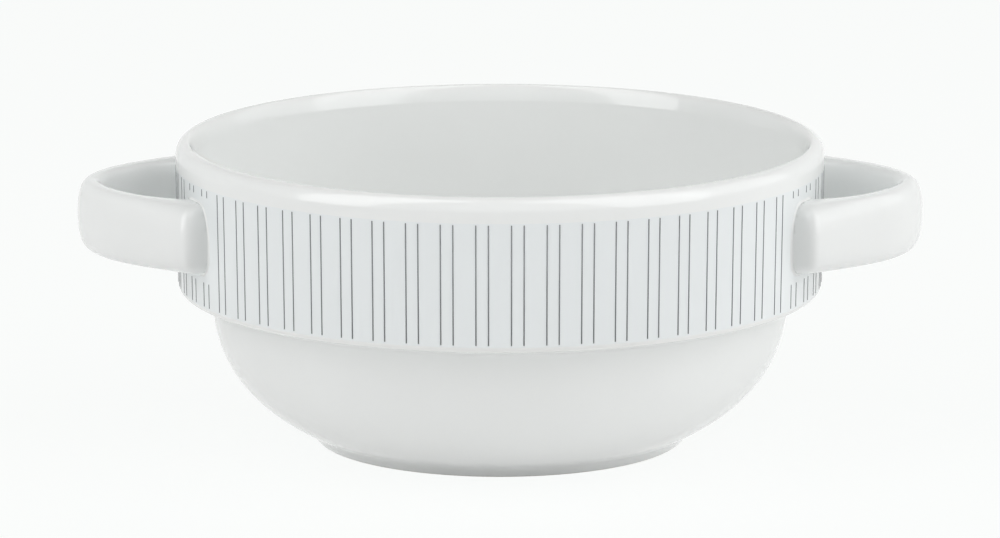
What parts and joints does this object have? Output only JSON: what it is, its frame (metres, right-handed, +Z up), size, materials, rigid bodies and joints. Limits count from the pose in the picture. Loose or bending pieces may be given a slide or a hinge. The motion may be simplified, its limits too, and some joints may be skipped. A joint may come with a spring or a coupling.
{
  "type": "two-handled soup bowl",
  "caption": "Glazed porcelain stacking soup bowl: upright printed band over a rounded lower bowl, with a stacking ledge, a foot ring and strap loop handles to lift it by.",
  "frame": {"origin": "centre of the bounding box on the table plane, under the foot ring", "axes": "+Z up along the bowl's axis, +X towards the right handle, -Y towards the viewer of the picture"},
  "size_m": [0.1628, 0.1248, 0.0585],
  "materials": {
    "porcelain": "clear gloss glaze over white porcelain, bare on the foot ring's resting face",
    "slip": "porcelain slip under the same gloss glaze",
    "print_ink": "graphite grey ceramic ink fired into the glaze"
  },
  "bodies": {
    "root": {"bowl_body": "porcelain", "left_handle": "porcelain", "right_handle": "porcelain", "left_front_slip_joint": "slip", "left_rear_slip_joint": "slip", "right_front_slip_joint": "slip", "right_rear_slip_joint": "slip", "front_print": "print_ink", "rear_print": "print_ink", "left_loop_print": "print_ink", "right_loop_print": "print_ink"}
  },
  "joints": []
}
